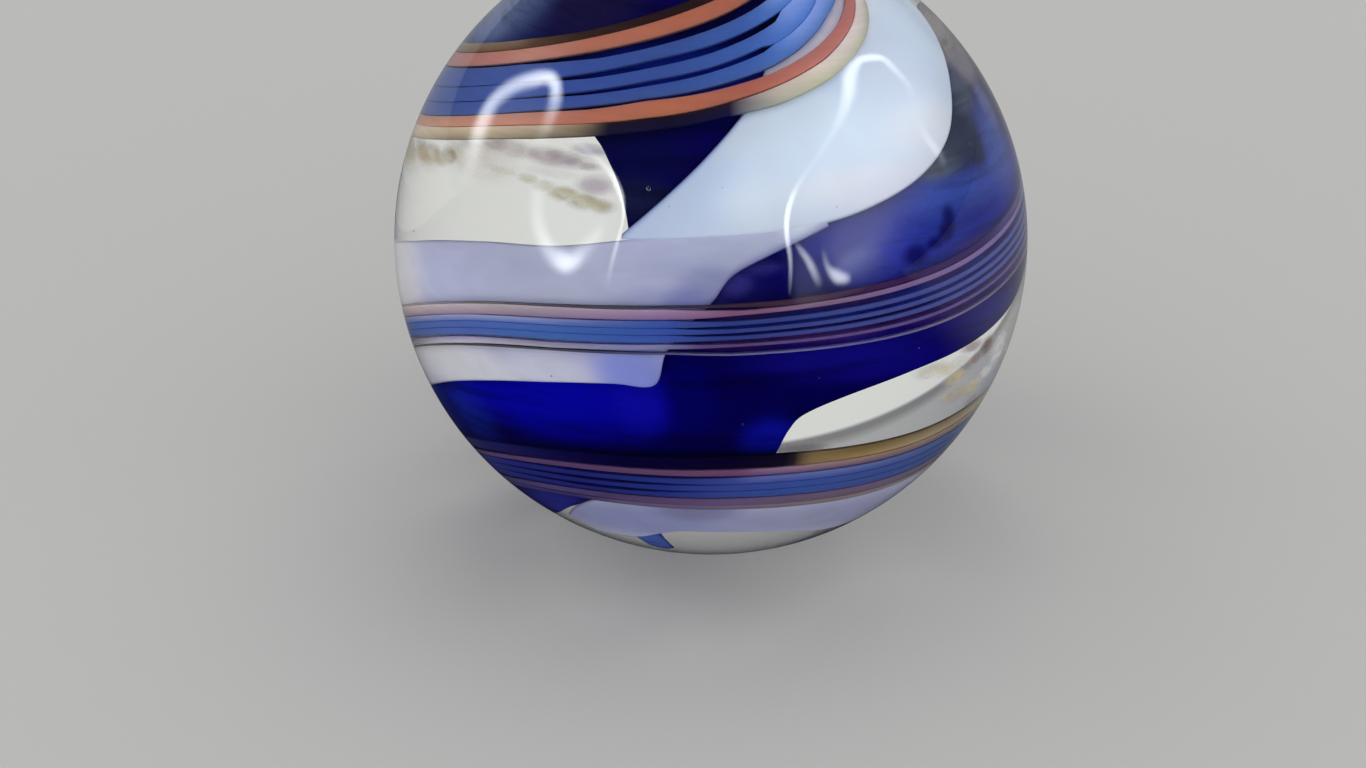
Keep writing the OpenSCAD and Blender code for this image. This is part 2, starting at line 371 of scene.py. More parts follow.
lavender_parts = []
for ribs in (lavender_middle, lavender_foot):
    points, faces, angles = panel(ribs, OPAL_R - SUNK, OPAL_T)
    colours = blended(angles, "#abadd0", lavender_tones_and_painted_light)
    # Towards its right end the middle stroke thins out, and the cobalt shows through.
    thin = np.clip((angles[:, 0] + 13) / 6, 0, 1) * (ribs is lavender_middle)
    colours = feathered(colours, angles[:, 3], 0.45, "#45468a", 0.8 * thin)
    lavender_parts.append((points, faces, angles, colours))
lavender = glass_piece("lavender_panels", lavender_parts)

# Lavender glass: opaque and even, with faint milky clouds 3 mm long where the blue film has run.
filmed_white, tree = new_material("filmed_white")
swirl = add(tree, "UVMap", {"uv_map": "swirl"}).outputs[0]
drawn = add(tree, "VectorMath", {"operation": "MULTIPLY"}, {0: swirl, 1: (DEGREE / 3, DEGREE / 1.2, 0)})
clouds = add(tree, "TexNoise", inputs={
    "Vector": drawn.outputs[0], "Scale": 1.0, "Detail": 5.0, "Roughness": 0.55, "Distortion": 1.0})
depth = add(tree, "Math", {"operation": "MULTIPLY_ADD"}, {0: clouds.outputs[0], 1: 0.30, 2: 0.84})
coloured_glass(tree, depth)
lavender.data.materials.append(filmed_white)
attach(lavender, "root")
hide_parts("lavender_panels")

# ---------------------------------------------------------------- Opal panels
# Opal white glass, milky with fine particles that scatter blue light, so thin edges look bluer than
# the middle. A teardrop stroke in front and a smaller one behind, both melted in over the cobalt.

opal_front = [
    [-17, 76.3, -17, 77.2], [-10, 70, -10, 77], [0, 60.5, 0, 76.5], [10, 50, 10, 76], [20, 36, 20, 75],
    [31, 27, 31, 73], [45, 22, 45, 69], [58, 20, 57, 63.3], [72, 22, 68, 54.6], [86, 25, 76, 48.6],
    [97, 31, 85, 41.5]
]
opal_back = [
    [150, 30, 150, 34], [165, 26, 165, 44], [185, 22, 185, 54], [205, 22, 205, 57], [225, 26, 225, 50],
    [240, 33, 240, 39]
]
opal_tones_and_painted_light = [
    # Under the gaps at the top of the ribbon, the two light blue patches give the blue that the gaps show
    # there. The row of near-white ones from #f4e6f2 on is the opal. Both are painted lighter than the glass,
    # to make up for the threads' shade.
    [25, 36, 26, 13, "#86a6f4"], [48, 24, 16, 7, "#86a6f4"], [50, 47, 14, 12, "#c0cee4"],
    [54, 33.4, 9, 3.4, "#f4e6f2"], [45, 37.4, 9, 3.4, "#f4e6f2"], [36, 41.0, 9, 3.4, "#f2e4f0"],
    [27, 44.2, 9, 3.4, "#f0e2ee"], [18, 47.2, 9, 3.2, "#ece0ec"], [10, 49.6, 7, 3.0, "#e4dcea"],
    [-12, 74, 9, 5, "#bacdf8"], [-2, 67, 8, 8, "#bacefa"], [10, 71, 9, 5, "#d2e2f6"],
    [34, 69, 18, 4, "#e6e8f8"], [52, 61, 12, 6, "#e4eaf8"]
]
opal_parts = []
for ribs in (opal_front, opal_back):
    points, faces, angles = panel(ribs, OPAL_R, OPAL_T)
    colours = blended(angles, "#cadcf6", opal_tones_and_painted_light)
    # The front stroke's upper left edge is so thin that it looks blue over the cobalt.
    thin = np.clip((16 - angles[:, 0]) / 6, 0, 1)
    colours = feathered(colours, angles[:, 2], 0.22, "#4a60a8", 0.85 * thin)
    opal_parts.append((points, faces, angles, colours))
opal = glass_piece("opal_panels", opal_parts)

# Opal glass: dense, smooth and milky, with the faintest drift of brighter clouds 4 mm long.
opal_white, tree = new_material("opal_white")
swirl = add(tree, "UVMap", {"uv_map": "swirl"}).outputs[0]
drawn = add(tree, "VectorMath", {"operation": "MULTIPLY"}, {0: swirl, 1: (DEGREE / 4, DEGREE / 3, 0)})
clouds = add(tree, "TexNoise", inputs={
    "Vector": drawn.outputs[0], "Scale": 1.0, "Detail": 3.0, "Roughness": 0.5, "Distortion": 0.8})
depth = add(tree, "Math", {"operation": "MULTIPLY_ADD"}, {0: clouds.outputs[0], 1: 0.16, 2: 0.92})
coloured_glass(tree, depth)
opal.data.materials.append(opal_white)
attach(opal, "root")
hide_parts("opal_panels")

# ---------------------------------------------------------------- Ribbon
# Seven stringers of coloured glass, drawn out thin in the torch and laid side by side as one striped
# ribbon: three blue, an orange on each side of them and a thin amber along each edge. It was trailed
# round the turning ball from pole to pole and pressed in, so each stringer is flat.

RIBBON_START = 90.0                            # azimuth of its upper end; it winds down and to the left
EIGHTH = 45.0
# The ribbon's middle line and width, one pair [polar, width] for each eighth of a turn
ribbon = [
    [12, 10], [26, 29], [41.2, 28.3], [51.3, 20.4], [60.8, 18.5], [67.5, 17], [73.5, 15], [79, 13],
    [83.5, 12.2], [90.8, 11.2], [93.5, 9.3], [96.1, 8.5], [106.8, 8.7], [117, 10], [124, 10], [127, 12],
    [123.5, 14], [127.3, 13.8], [127.6, 13.3], [128.5, 11.6], [135.5, 11], [142, 11], [149, 10],
    [154, 6]
]
TURN_STEP = 2.0                                # degrees of turn between cross-sections
SIDES = 16                                     # corners of a cross-section
CORNER = 0.25                                  # 1 would be a round thread, 0 a square one
TURN_PER_MM = 20                               # degrees of turn for about 1 mm of thread, at its ends


def thread(lanes, colours):
    """Points, faces, angles and colours of one flat thread.

    A row of lanes says between which shares of the ribbon's width it runs at a turn, and a row of
    colours how its upper and lower side look there. Both change evenly from one row to the next.
    """
    last = (len(ribbon) - 1) * EIGHTH
    turn = np.linspace(0, last, int(last / TURN_STEP) + 1)
    here = smooth(ribbon, turn / EIGHTH)
    keys = np.array(lanes)
    upper = np.interp(turn, keys[:, 0], keys[:, 1])
    lower = np.interp(turn, keys[:, 0], keys[:, 2])
    centre = here[:, 0] + ((upper + lower) / 2 - 0.5) * here[:, 1]
    half = (lower - upper) / 2 * here[:, 1]
    side = np.arange(SIDES) * 2 * math.pi / SIDES
    c, s = np.cos(side), np.sin(side)
    wide = np.sign(c) * np.abs(c) ** CORNER
    thick = np.sign(s) * np.abs(s) ** CORNER
    end = roll_off(np.minimum(turn, last - turn) / TURN_PER_MM)
    polar = centre[:, None] + half[:, None] * wide * end[:, None]
    radius = THREAD_R - THREAD_T / 2 + THREAD_T / 2 * thick * end[:, None]
    azimuth = np.repeat((RIBBON_START - turn)[:, None], SIDES, 1)
    points = spot(radius, azimuth, polar).reshape(-1, 3)
    angles = np.stack([azimuth, polar], -1).reshape(-1, 2)
    at = [key[0] for key in colours]
    sides = []
    for k in (1, -1):
        bands = np.array([linear(key[k]) for key in colours]).T
        sides.append(np.stack([np.interp(turn, at, band) for band in bands], -1)[:, None])
    down = ((wide + 1) / 2)[None, :, None]
    tints = (sides[0] * (1 - down) + sides[1] * down).reshape(-1, 3)
    rows = np.arange(len(turn) * SIDES).reshape(-1, SIDES)
    beside = np.roll(rows, -1, 1)
    faces = np.stack([rows[:-1], rows[1:], beside[1:], beside[:-1]], -1).reshape(-1, 4).tolist()
    return points, faces, angles, tints


blue_lanes = [
    [[50, 0.33, 0.465], [68, 0.33, 0.465], [75, 0.33, 0.46], [90, 0.325, 0.455], [105, 0.325, 0.44],
     [120, 0.325, 0.458], [142, 0.27, 0.475], [200, 0.25, 0.475], [350, 0.295, 0.375], [446, 0.29, 0.375],
     [453, 0.25, 0.37], [458, 0.21, 0.365], [470, 0.24, 0.39], [480, 0.27, 0.415], [490, 0.285, 0.425],
     [560, 0.29, 0.425], [700, 0.21, 0.38], [790, 0.25, 0.40], [805, 0.275, 0.41], [815, 0.285, 0.40],
     [830, 0.28, 0.385], [842, 0.28, 0.385], [870, 0.25, 0.39]],
    [[50, 0.465, 0.60], [60, 0.465, 0.635], [67, 0.465, 0.65], [69, 0.51, 0.652], [73.5, 0.513, 0.648],
     [75, 0.515, 0.625], [90, 0.515, 0.622], [105, 0.505, 0.61], [120, 0.512, 0.628], [142, 0.48, 0.64],
     [200, 0.48, 0.64], [350, 0.44, 0.52], [446, 0.44, 0.52], [453, 0.41, 0.515], [458, 0.367, 0.51],
     [470, 0.392, 0.54], [480, 0.417, 0.565], [490, 0.427, 0.575], [560, 0.427, 0.575], [700, 0.385, 0.53],
     [790, 0.405, 0.54], [805, 0.415, 0.55], [815, 0.425, 0.555], [830, 0.445, 0.545],
     [842, 0.445, 0.545], [870, 0.40, 0.545]],
    [[50, 0.60, 0.73], [60, 0.635, 0.76], [67, 0.65, 0.778], [73.5, 0.648, 0.785], [75, 0.668, 0.785],
     [90, 0.66, 0.765], [105, 0.65, 0.748], [120, 0.66, 0.765], [145, 0.645, 0.785], [200, 0.645, 0.785],
     [350, 0.575, 0.65], [446, 0.575, 0.655], [453, 0.55, 0.65], [458, 0.512, 0.665], [470, 0.542, 0.70],
     [480, 0.567, 0.725], [490, 0.577, 0.73], [560, 0.577, 0.73], [700, 0.535, 0.69], [790, 0.545, 0.695],
     [805, 0.555, 0.70], [815, 0.575, 0.70], [830, 0.61, 0.695], [842, 0.61, 0.695], [870, 0.55, 0.70]]
]
blue_tints = [
    [50, "#88a2e4", "#4668b0"], [64, "#7c98de", "#4266ae"], [70, "#5c7ac4", "#4064ac"],
    [74, "#4264ae"], [80, "#3a58a0"], [100, "#344a8a"], [125, "#35498c"],
    [140, "#3e5290"], [160, "#3c4f88"], [200, "#4c5d90"], [350, "#40468c"], [390, "#444a90"],
    [420, "#3c4486"], [448, "#2c387c"], [460, "#344c98"], [480, "#3a5a9c"], [500, "#455b9f"],
    [520, "#4a5f9a"], [560, "#4c6096"], [740, "#44547c"], [765, "#384880"], [790, "#324689"],
    [806, "#2f3d82"], [820, "#202c74"], [840, "#1a1f68"], [862, "#1e2268"], [900, "#3a4074"]
]
# Over the pale glass the topmost thread thins out to lavender along its upper side.
blue_top_tints = [key for key in blue_tints if key[0] <= 460 or 520 < key[0] < 765 or key[0] > 806] + [
    [470, "#5866a4", "#3a559a"], [480, "#7c86bc", "#3e5a9c"], [490, "#8e96c6", "#445c9e"],
    [505, "#969ccc", "#48609e"], [520, "#9498be", "#4c629a"], [765, "#505c90", "#384880"],
    [785, "#5c66a4", "#324689"], [800, "#5a62a4", "#2f3e84"], [806, "#343e88", "#2f3d82"]
]
blue_top_tints.sort(key=lambda key: key[0])
orange_lanes = [
    [[130, 0.08, 0.242], [200, 0.08, 0.24], [350, 0.10, 0.185], [444, 0.095, 0.185], [453, 0.03, 0.20],
     [458, -0.01, 0.20], [472, 0.005, 0.225], [480, 0.015, 0.255], [490, 0.03, 0.27], [500, 0.045, 0.28],
     [560, 0.045, 0.28], [700, 0.075, 0.20], [785, 0.09, 0.225], [800, 0.11, 0.24], [815, 0.115, 0.235],
     [842, 0.105, 0.22], [870, 0.14, 0.24]],
    [[40, 0.805, 0.905], [50, 0.825, 0.92], [60, 0.835, 0.93], [75, 0.83, 0.92], [82, 0.812, 0.91],
     [90, 0.795, 0.905], [105, 0.765, 0.898], [118, 0.79, 0.91], [150, 0.79, 0.90], [200, 0.79, 0.90],
     [350, 0.742, 0.80], [446, 0.735, 0.795], [458, 0.70, 0.80], [472, 0.75, 0.865], [480, 0.775, 0.90],
     [490, 0.775, 0.91], [500, 0.77, 0.915], [515, 0.78, 0.92], [560, 0.80, 0.92], [700, 0.71, 0.87],
     [790, 0.71, 0.885], [810, 0.725, 0.90], [842, 0.73, 0.87], [870, 0.75, 0.88]]
]
orange_tints = [
    [[80, "#a85c48"], [100, "#ac5e48"], [125, "#b06550"], [142, "#c07c6c"], [152, "#b57264"],
     [168, "#a86c66"], [200, "#a06c68"], [350, "#5c5480"], [390, "#77609a"], [412, "#7a5c8c"],
     [430, "#80607c"], [446, "#7a4c68"], [460, "#a282a0", "#735680"], [472, "#a88c98", "#7c6284"],
     [482, "#a89a9a", "#7c627c"], [492, "#b0a49e", "#806674"], [502, "#c4b0ae", "#846c7c"],
     [515, "#d0bcb8", "#86707c"], [560, "#a8988e", "#8a8084"], [740, "#8a7a6c", "#66585c"],
     [770, "#8c7266", "#58485a"], [786, "#94787a", "#523e5c"], [798, "#8a6684", "#58406a"],
     [804, "#643e5e"], [820, "#5a3c5e"], [840, "#50385e"], [860, "#4e3862"], [900, "#4a4460"]],
    [[40, "#a8645c"], [66, "#b0665c"], [82, "#a85a48"], [100, "#b46248"], [118, "#b26450"],
     [140, "#c07c6a"], [160, "#ba8068"], [200, "#ac7868"], [350, "#484470"], [400, "#584a82"],
     [430, "#594379"], [452, "#54406e"], [460, "#7c7cb4", "#7c7a98"], [472, "#7c78a8", "#8c8aa0"],
     [482, "#78708c", "#a6a0ac"], [492, "#7c7698", "#bcb2be"], [502, "#7e76a0", "#dcccd8"],
     [510, "#86809a", "#d0c0cc"], [518, "#84808a", "#989094"], [530, "#76747a"], [560, "#767478"],
     [740, "#66607a", "#605a60"], [770, "#645270", "#5c4e56"], [790, "#5a4a66", "#584a58"],
     [805, "#584666"], [822, "#503c60"], [836, "#42345a"], [850, "#443a66"], [900, "#3c3c64"]]
]
amber_lanes = [
    [[130, -0.02, 0.075], [145, -0.04, 0.075], [200, -0.04, 0.07], [350, -0.03, 0.09], [438, -0.02, 0.08],
     [450, -0.05, 0.0], [457, -0.075, -0.04], [466, -0.07, -0.025], [480, -0.03, 0.005],
     [490, -0.01, 0.02], [500, 0.0, 0.035], [515, 0.0, 0.03], [560, -0.02, 0.03], [700, -0.14, 0.05],
     [785, -0.13, 0.08], [796, -0.13, 0.09], [842, -0.12, 0.09], [870, -0.12, 0.09]],
    [[40, 0.91, 1.05], [60, 0.935, 1.06], [75, 0.925, 1.04], [88, 0.912, 0.99], [105, 0.905, 0.99],
     [112, 0.91, 1.0], [130, 0.912, 1.03], [150, 0.905, 1.03], [200, 0.905, 1.03], [350, 0.928, 0.975],
     [446, 0.928, 0.97], [457, 0.865, 0.91], [470, 0.89, 0.945], [480, 0.915, 0.965],
     [490, 0.935, 0.985], [500, 0.95, 0.985], [515, 0.94, 0.975], [560, 0.94, 0.99], [700, 0.89, 1.0],
     [870, 0.89, 0.99]]
]
amber_tints = [
    [[80, "#1c1418"], [110, "#221517"], [130, "#2e211c"], [142, "#463428"], [150, "#746452", "#584230"],
     [165, "#7c6c56", "#5c4834"], [200, "#80725c", "#685a48"], [350, "#504a74"], [378, "#423868"],
     [392, "#2c1c50"], [410, "#301c48"], [430, "#3a2438"], [446, "#342430"], [458, "#302c38"],
     [470, "#3c3a42"], [482, "#44424a"], [492, "#5c5658"], [505, "#706a6c"], [520, "#8c8480"],
     [560, "#8c8878"],
     [740, "#6c6252", "#a4967e"], [762, "#5e503a", "#a08a6a"], [776, "#5c4c30", "#8e7648"],
     [789, "#6c5c3c", "#786040"], [793, "#0e0a18"], [805, "#07021e"], [830, "#05022a"],
     [845, "#0c0838"], [870, "#1c1c50"], [900, "#3c4468"]],
    [[40, "#ece0d8", "#908e74"], [52, "#f0e4dc", "#a09e78"], [64, "#eadfcc", "#a8a47c"],
     [74, "#ccc2ae", "#8c8c78"], [81, "#84787a", "#6c6c6c"], [86, "#1c1520", "#121234"],
     [100, "#140f1c", "#100e2c"], [113, "#1a1420", "#16142c"], [119, "#84745e", "#665c48"],
     [126, "#b0a084", "#6c624c"], [140, "#ccb898", "#908260"], [155, "#ccb898", "#8e8060"],
     [170, "#e4d0ac", "#a49670"], [200, "#d8c8a0", "#b0a078"], [350, "#7a6a50"], [380, "#645878"],
     [405, "#726688"], [420, "#605a90"], [433, "#68649c"], [450, "#5c5688"], [458, "#44446a"],
     [470, "#3a3a48"], [482, "#3a3a40"], [492, "#3e3c3c"], [505, "#4a4644"], [518, "#56524c"],
     [560, "#7c7868"],
     [740, "#7c7a70"], [765, "#7a7070", "#6a6260"], [790, "#74646a", "#5c5254"],
     [812, "#64566e", "#4e465c"], [832, "#5c5068", "#483e52"], [844, "#3a2e5c", "#201a4c"],
     [900, "#404468"]]
]

# Stringer glass: smooth, with fine lines 9 mm long and 0.25 mm apart where it was drawn, plainest in
# the amber. It is thin, so it darkens over cobalt and pales over white.
for name, lanes, tints, contrast in (
        ("blue_threads", blue_lanes, [blue_top_tints, blue_tints, blue_tints], 0.24),
        ("orange_threads", orange_lanes, orange_tints, 0.24),
        ("amber_threads", amber_lanes, amber_tints, 0.40)):
    threads = glass_piece(name, [thread(lane, tint) for lane, tint in zip(lanes, tints)])
    stringer, tree = new_material(name.replace("threads", "stringer"))
    swirl = add(tree, "UVMap", {"uv_map": "swirl"}).outputs[0]
    drawn = add(tree, "VectorMath", {"operation": "MULTIPLY"}, {0: swirl, 1: (DEGREE / 9, DEGREE / 0.25, 0)})
    lines = add(tree, "TexNoise", inputs={
        "Vector": drawn.outputs[0], "Scale": 1.0, "Detail": 4.0, "Roughness": 0.6})
    depth = add(tree, "Math", {"operation": "MULTIPLY_ADD"},
                {0: lines.outputs[0], 1: contrast, 2: 1 - contrast / 2})
    coloured_glass(tree, depth)
    threads.data.materials.append(stringer)
    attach(threads, "root")
    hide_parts(name)

# ---------------------------------------------------------------- Smoke in the clear windows
# Metal fumed off in the torch has left thin films in the two windows where the clear core shows:
# tan and mauve along the ribbon, with a few olive and gold wisps. They lie on the core. Some of the
# wisps, nearly white, are painted light.

SMOKE_R = COBALT_R - COBALT_T - LAYER_GAP
# A window is the first and last azimuth and polar angle of its film, and its wisps. A wisp is its
# middle's azimuth and polar angle, its half width in each, its colour and how much it covers.
clear_windows = [
    [-112, -12, 52, 88, [
        # Painted light: the first wisp, a warm near white, is a pale reflection laid on the film.
        [-56, 67, 11, 3.5, "#f4e2c4", 0.85], [-91, 73.6, 12, 2.8, "#b09864", 0.85],
        [-78, 71.0, 8, 2.2, "#a48e60", 0.85], [-72, 69.8, 7, 1.7, "#ac9868", 0.8],
        [-66, 68.4, 4, 1.7, "#847044", 0.9], [-84, 72.5, 4, 1.3, "#8c7a50", 0.7],
        [-50, 63.5, 9, 2.0, "#c0aca0", 0.8], [-35, 63.5, 9, 1.9, "#a89094", 0.9],
        [-32, 63.6, 4, 0.9, "#8e7a80", 0.75], [-27, 64.2, 3, 0.9, "#9a8488", 0.8],
        [-24.5, 67.6, 4.5, 2.0, "#a6929a", 0.9], [-34, 66.4, 7, 0.9, "#e0d6d0", 0.5],
        [-47, 67.9, 4, 0.9, "#b0a882", 0.5], [-40.5, 68.2, 3, 1.0, "#a89e74", 0.65],
        [-36, 69.0, 3, 1.2, "#b0a67c", 0.55], [-31, 69.9, 4, 1.5, "#8c8048", 0.85],
        [-26.5, 70.8, 4, 1.7, "#80723c", 0.9], [-22.5, 71.4, 3, 1.5, "#8c7e50", 0.85],
        [-27, 61, 5, 1.2, "#9494b0", 0.75]]],
    [10, 88, 96, 126, [
        [49, 107, 5, 1.6, "#dccca4", 0.8], [53, 107.6, 4, 1.4, "#ecd498", 0.85],
        # Painted light: the near-white wisps #fff0d0, #fff4dc and #fffaf0 here stand for light let through
        # the glass near the ball's right edge.
        [57.5, 110, 4, 1.8, "#d8bf80", 0.85], [57.5, 106.8, 3.5, 1.3, "#fff0d0", 0.95],
        [60, 114, 6, 2.0, "#b8a070", 0.8], [67, 113.8, 4, 2.0, "#e0c88c", 0.9],
        [72, 117, 5, 2.4, "#fff4dc", 0.85], [75, 108, 4, 4, "#fffaf0", 0.9],
        [72, 111.5, 4, 1.8, "#fff4dc", 0.85], [61, 104.4, 4, 1.3, "#8c7474", 0.85],
        [67.5, 105.6, 3.5, 2.4, "#4c3836", 0.95], [63.5, 107.4, 2.5, 1.3, "#806660", 0.85],
        [20, 121, 6, 1.5, "#9a8c80", 0.7]]]
]

# Fume: a film far thinner than a hair, torn into shreds 1.2 mm long and half as wide. The same
# material carries the near-white wisps of painted light.
fume_and_painted_light, tree = new_material("fume_and_painted_light")
swirl = add(tree, "UVMap", {"uv_map": "swirl"}).outputs[0]
drawn = add(tree, "VectorMath", {"operation": "MULTIPLY"}, {0: swirl, 1: (DEGREE / 1.2, DEGREE / 0.5, 0)})
torn = add(tree, "TexNoise", inputs={
    "Vector": drawn.outputs[0], "Scale": 1.0, "Detail": 3.0, "Roughness": 0.5, "Distortion": 0.2})
ragged = add(tree, "ValToRGB", inputs={0: torn.outputs[0]}, stops=[(0.32, 0.55), (0.58, 1.0)])
thick = add(tree, "Attribute", {"attribute_name": "cover"}).outputs["Fac"]
veil = add(tree, "Math", {"operation": "MULTIPLY", "use_clamp": True}, {0: thick, 1: ragged.outputs[0]})
tint = add(tree, "Attribute", {"attribute_name": "tint"}).outputs["Color"]
shader = add(tree, "BsdfPrincipled", inputs={
    "Base Color": tint, "Roughness": 0.3, "Specular IOR Level": 0.0, "Alpha": veil.outputs[0]})
add(tree, "OutputMaterial", inputs={"Surface": shader.outputs[0]})

PER_AZIMUTH, PER_POLAR = 4, 6                  # mesh points for a degree of each angle
for side, (az0, az1, p0, p1, wisps_and_painted_light) in zip(("left", "right"), clear_windows):
    columns, rows = int((az1 - az0) * PER_AZIMUTH), int((p1 - p0) * PER_POLAR)
    azimuth, polar = np.meshgrid(np.linspace(az0, az1, columns), np.linspace(p0, p1, rows))
    angles = np.stack([azimuth.ravel(), polar.ravel()], -1)
    points = spot(SMOKE_R, azimuth, polar).reshape(-1, 3)
    faces = grid_faces(np.arange(rows * columns).reshape(rows, columns)).tolist()
    colours = blended(angles, "#cbc8c0", [wisp[:5] for wisp in wisps_and_painted_light])
    mesh = tinted_mesh("smoke_" + side, points, faces, angles, colours)
    cover = np.zeros(len(angles))
    for a, p, wide, high, _, strength in wisps_and_painted_light:
        away = ((angles[:, 0] - a) / wide) ** 2 + ((angles[:, 1] - p) / high) ** 2
        cover = np.maximum(cover, strength * np.exp(-away ** 2))
    mesh.attributes.new("cover", "FLOAT", "POINT").data.foreach_set("value", cover.astype(np.float32))
    mesh.materials.append(fume_and_painted_light)
    smoke = placed("smoke_" + side, mesh)
    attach(smoke, "root")

# ---------------------------------------------------------------- Clear glass
# The ball itself: clear soda-lime glass, gathered over the coloured work, rounded in a mould and
# fire-polished. It is a true sphere but for a slow wave of a hundredth of a millimetre that the
# hand-turning left, and a few seed bubbles are caught in it.

CASING_R = min((cad_high - cad_low) / 2) / MM  # half the solid's narrowest width, a hair under BALL_R
WAVE = 0.012                                   # mm from the wave's crest to its trough
ball_mesh = bmesh.new()
bmesh.ops.create_icosphere(ball_mesh, subdivisions=7, radius=1.0)
for vertex in ball_mesh.verts:
    x, y, z = vertex.co
    wave = (math.sin(9 * x + 4 * z + 1.0) * math.sin(8 * y - 3 * x) + math.sin(11 * z + 5 * y + 2.0)
            * math.sin(7 * x + 2 * y)) / 2
    vertex.co = vertex.co.normalized() * (CASING_R - WAVE * (1 - wave) / 2) * MM
mesh = bpy.data.meshes.new("clear_glass_ball")
ball_mesh.to_mesh(mesh)
ball_mesh.free()
mesh.polygons.foreach_set("use_smooth", [True] * len(mesh.polygons))
ball = placed("clear_glass_ball", mesh)

# Clear glass: polished by its own melting, so mirror-smooth, with the faint green of soda-lime.
clear_casing, tree = new_material("clear_casing")
shader = add(tree, "BsdfPrincipled", inputs={
    "Base Color": (0.985, 0.99, 0.985, 1), "Roughness": 0.0, "IOR": 1.5, "Transmission Weight": 1.0})
add(tree, "OutputMaterial", inputs={"Surface": shader.outputs[0]})
ball.data.materials.append(clear_casing)
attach(ball, "root")
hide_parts("clear_glass")

# Seed bubbles: pockets of air 0.06 to 0.22 mm across, caught when the casing was gathered. Their faces
# turn inwards, because the glass is outside them.
bubbles = [
    [-12.2, 67.9, 12.2, 0.11], [2, 67.5, 12.3, 0.03], [24, 72, 12.25, 0.03], [47, 72, 12.2, 0.05],
    [62, 66, 12.25, 0.05], [-62, 116, 12.2, 0.05], [-31, 104, 12.2, 0.04], [-44, 96, 12.3, 0.03],
    [-20, 122, 12.2, 0.05], [6, 112, 12.2, 0.06], [20, 103, 12.25, 0.04], [41, 100, 12.2, 0.05],
    [-70, 84, 12.2, 0.05], [-8, 71, 12.3, 0.03], [-78, 45, 12.2, 0.06], [-6, 51, 12.25, 0.04],
    [128, 88, 12.1, 0.08], [172, 96, 12.2, 0.06], [212, 70, 12.2, 0.07], [248, 120, 12.1, 0.05]
]
seed_mesh = bmesh.new()
for azimuth, polar, r, size in bubbles:
    centre = spot(r, azimuth, polar) * MM
    made = bmesh.ops.create_icosphere(seed_mesh, subdivisions=2, radius=size * MM)["verts"]
    bmesh.ops.translate(seed_mesh, verts=made, vec=centre)
bmesh.ops.reverse_faces(seed_mesh, faces=seed_mesh.faces)
mesh = bpy.data.meshes.new("seed_bubbles")
seed_mesh.to_mesh(mesh)
seed_mesh.free()
mesh.polygons.foreach_set("use_smooth", [True] * len(mesh.polygons))
mesh.materials.append(clear_casing)
seeds = placed("seed_bubbles", mesh)
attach(seeds, "root")

# ---------------------------------------------------------------- Table and studio
# A plain pale paper on a table, in a soft, even studio light, with a tall window of light on each
# side of the ball. The bright frames of the two show as curved lines in the polished glass.

FLOOR = 1.5                                    # metres from the ball to the table's edges
z = cad_low.z
table_mesh = bpy.data.meshes.new("table")
table_mesh.from_pydata([(-FLOOR, -FLOOR, z), (FLOOR, -FLOOR, z), (FLOOR, FLOOR, z), (-FLOOR, FLOOR, z)],
                       [], [(0, 1, 2, 3)])
table = placed("table", table_mesh)

# Matt paper: pale warm grey, evenly lit all round the ball. What the polished glass mirrors of it is
# painted shade: dark in front of the ball, and pale behind.
paper, tree = new_material("table_paper")
path = add(tree, "LightPath").outputs
matt = add(tree, "BsdfDiffuse", inputs={"Color": (*linear("#b9b7b1"), 1)})
lit = add(tree, "Emission", inputs={"Color": (1, 1, 1, 1), "Strength": 0.95})
through = add(tree, "Emission", inputs={"Color": (*linear("#dcddd9"), 1), "Strength": 1.0})
place = add(tree, "NewGeometry").outputs["Position"]
behind = add(tree, "VectorMath", {"operation": "DOT_PRODUCT"}, {0: place, 1: (0.35, 1.0, 0.0)})
# Painted shade: what the glass mirrors of the paper is dark close in front of the ball and pale behind it.
painted_mirror_shade = add(tree, "MapRange", {"interpolation_type": "SMOOTHSTEP"}, {
    "Value": behind.outputs["Value"], "From Min": 0.001, "From Max": 0.016, "To Min": 0.01, "To Max": 0.27})
mirrored = add(tree, "Emission", inputs={"Color": (1, 1, 1, 1), "Strength": painted_mirror_shade.outputs[0]})
shown = add(tree, "MixShader", inputs={0: path["Is Glossy Ray"], 1: matt.outputs[0], 2: mirrored.outputs[0]})
shown = add(tree, "MixShader", inputs={
    0: path["Is Transmission Ray"], 1: shown.outputs[0], 2: through.outputs[0]})
later = add(tree, "Math", {"operation": "GREATER_THAN"}, {0: path["Diffuse Depth"], 1: 0.5})
shown = add(tree, "MixShader", inputs={0: later.outputs[0], 1: shown.outputs[0], 2: lit.outputs[0]})
add(tree, "OutputMaterial", inputs={"Surface": shown.outputs[0]})
table_mesh.materials.append(paper)
table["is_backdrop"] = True

# The studio: even light on the ball. Through the clear glass it shows as a pale backdrop, with a
# darker band where the table ends, and the glass mirrors a dark room.
world = bpy.data.worlds.new("studio")
world.use_nodes = True
tree = world.node_tree
tree.nodes.clear()
path = add(tree, "LightPath").outputs
light = add(tree, "Background", inputs={"Color": (0.98, 1.0, 1.06, 1), "Strength": 1.05})
heading = add(tree, "SeparateXYZ", inputs={0: add(tree, "TexCoord").outputs["Generated"]})
backdrop = add(tree, "ValToRGB", inputs={0: heading.outputs["Z"]}, stops=[
    (0.004, 0.72), (0.018, 0.22), (0.036, 0.22), (0.075, 0.40), (0.20, 0.42), (0.60, 0.33)])
pale = add(tree, "Background", inputs={"Color": backdrop.outputs[0], "Strength": 1.0})
dark = add(tree, "Background", inputs={"Color": (0.03, 0.03, 0.035, 1), "Strength": 1.0})
first = add(tree, "Math", {"operation": "LESS_THAN"}, {0: path["Diffuse Depth"], 1: 0.5}).outputs[0]
